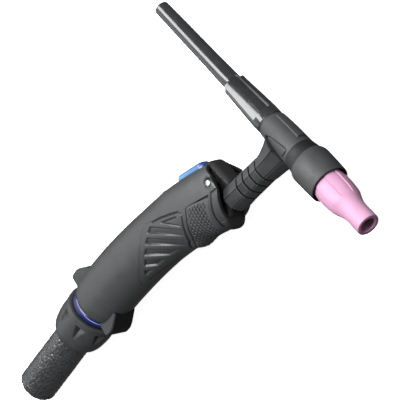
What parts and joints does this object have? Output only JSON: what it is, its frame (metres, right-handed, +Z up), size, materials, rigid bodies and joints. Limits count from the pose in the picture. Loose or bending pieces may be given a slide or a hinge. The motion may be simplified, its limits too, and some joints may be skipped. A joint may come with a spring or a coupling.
{
  "type": "tig torch",
  "caption": "TIG welding torch lying on its side: curved lit-button handle, flexible ribbed neck, long back cap, ceramic gas nozzle and a leather cable sleeve.",
  "frame": {"origin": "centre of the bounding box's base: the torch lies on its side on the plane z = 0", "axes": "+X forward along the handle from the cable to the head, +Y the button and back cap side, +Z up, normal to the torch's mid-plane; the nozzle points along -Y and a little forward"},
  "size_m": [0.3362, 0.2096, 0.0356],
  "materials": {
    "ceramic": "fired alumina, pink, satin",
    "seal": "moulded PTFE",
    "head_plastic": "moulded, fine texture",
    "brass": "machined",
    "neck_rubber": "moulded silicone rubber",
    "copper": "machined copper",
    "tungsten": "ground",
    "cap_plastic": "polished moulding",
    "black_rubber": "O-ring rubber",
    "shell_plastic": "glass-filled nylon, spark-eroded texture",
    "nose_rubber": "soft moulded rubber",
    "grip_rubber": "moulded scale texture",
    "bezel_plastic": "moulded",
    "button_lens": "translucent, lit from inside",
    "white_plastic": "moulded",
    "switch_black": "moulded",
    "board_green": "solder mask",
    "led_white": "clear cap",
    "steel": "zinc plated",
    "clamp_plastic": "moulded nylon",
    "hose_rubber": "extruded",
    "bush_plastic": "moulded",
    "ring_lens": "translucent blue, lit from inside",
    "nut_plastic": "moulded",
    "leather": "wrinkled, coated"
  },
  "bodies": {
    "handle": {"handle_shell_upper": "shell_plastic", "handle_shell_lower": "shell_plastic", "nose_piece": "nose_rubber", "grip_pad_upper": "grip_rubber", "grip_pad_lower": "grip_rubber", "button_bezel": "bezel_plastic", "micro_switch": "switch_black", "switch_board": "board_green", "button_led": "led_white", "handle_screw": "steel", "handle_screw_nut": "steel", "neck_clamp": "clamp_plastic", "hose_coupling": "brass", "power_hose": "hose_rubber", "hose_ferrule": "steel", "hose_fitting": "brass", "control_cable": "hose_rubber", "control_plug": "switch_black", "rear_bush": "bush_plastic", "light_ring": "ring_lens", "ring_board": "board_green", "cable_sleeve": "leather", "neck_jacket_rear": "neck_rubber", "flex_tube_1": "copper"},
    "button": {"button_lens": "button_lens", "button_plunger": "white_plastic"},
    "cable_clamp": {"clamp_ring": "clamp_plastic"},
    "cable_nut": {"cable_nut": "nut_plastic"},
    "neck_link_1": {"neck_ring_1": "neck_rubber", "flex_tube_2": "copper"},
    "neck_link_2": {"neck_ring_2": "neck_rubber", "flex_tube_3": "copper"},
    "neck_link_3": {"neck_ring_3": "neck_rubber", "flex_tube_4": "copper"},
    "head": {"head_core": "brass", "head_jacket": "head_plastic", "neck_saddle": "neck_rubber", "front_collar": "head_plastic", "collet_body": "copper", "collet": "copper", "flex_tube_5": "copper"},
    "nozzle_seal": {"nozzle_seal": "seal"},
    "nozzle": {"nozzle": "ceramic"},
    "back_cap_seal": {"back_cap_seal": "black_rubber"},
    "back_cap": {"back_cap": "cap_plastic", "back_cap_insert": "brass"},
    "electrode": {"tungsten_electrode": "tungsten"}
  },
  "joints": [
    {"name": "neck_bend_1", "type": "hinge", "parent": "handle", "child": "neck_link_1", "pos_m": [0.08779, -0.02043, 0.0178], "axis": [0, 0, 1], "range_deg": [-4, 4]},
    {"name": "neck_bend_2", "type": "hinge", "parent": "neck_link_1", "child": "neck_link_2", "pos_m": [0.09524, -0.02131, 0.0178], "axis": [0, 0, 1], "range_deg": [-4, 4]},
    {"name": "neck_bend_3", "type": "hinge", "parent": "neck_link_2", "child": "neck_link_3", "pos_m": [0.10268, -0.0222, 0.0178], "axis": [0, 0, 1], "range_deg": [-4, 4]},
    {"name": "neck_bend_4", "type": "hinge", "parent": "neck_link_3", "child": "head", "pos_m": [0.11013, -0.02309, 0.0178], "axis": [0, 0, 1], "range_deg": [-4, 4]},
    {"name": "button_press", "type": "slide", "parent": "handle", "child": "button", "axis": [-0.2571, -0.9664, 0], "range_m": [0, 0.0014], "stiffness_N_per_m": 900, "springref_m": -0.0008},
    {"name": "cap_travel", "type": "slide", "parent": "head", "child": "back_cap_seal", "axis": [-0.2756, 0.9613, 0], "range_m": [0, 0.00751]},
    {"name": "cap_turn", "type": "hinge", "parent": "back_cap_seal", "child": "back_cap", "pos_m": [0.1279, 0.01193, 0.0178], "axis": [-0.2756, 0.9613, 0], "range_deg": [0, 2160]},
    {"name": "nozzle_travel", "type": "slide", "parent": "head", "child": "nozzle_seal", "axis": [0.2756, -0.9613, 0], "range_m": [0, 0.00751]},
    {"name": "nozzle_turn", "type": "hinge", "parent": "nozzle_seal", "child": "nozzle", "pos_m": [0.15271, -0.07459, 0.0178], "axis": [0.2756, -0.9613, 0], "range_deg": [0, 1800]},
    {"name": "electrode_slide", "type": "slide", "parent": "head", "child": "electrode", "axis": [0.2756, -0.9613, 0], "range_m": [-0.012, 0.012]},
    {"name": "nut_travel", "type": "slide", "parent": "handle", "child": "cable_clamp", "axis": [-1, 0, 0], "range_m": [0, 0.00601]},
    {"name": "nut_turn", "type": "hinge", "parent": "cable_clamp", "child": "cable_nut", "pos_m": [-0.10107, 0.01308, 0.0178], "axis": [-1, 0, 0], "range_deg": [0, 1080]}
  ],
  "couplings": [
    {"joint": "neck_bend_2", "follows": "neck_bend_1", "ratio": 1},
    {"joint": "neck_bend_3", "follows": "neck_bend_1", "ratio": 1},
    {"joint": "neck_bend_4", "follows": "neck_bend_1", "ratio": 1},
    {"joint": "cap_travel", "follows": "cap_turn", "m_per_rad": 0.00019894},
    {"joint": "nozzle_travel", "follows": "nozzle_turn", "m_per_rad": 0.00023873},
    {"joint": "nut_travel", "follows": "nut_turn", "m_per_rad": 0.00031831}
  ]
}
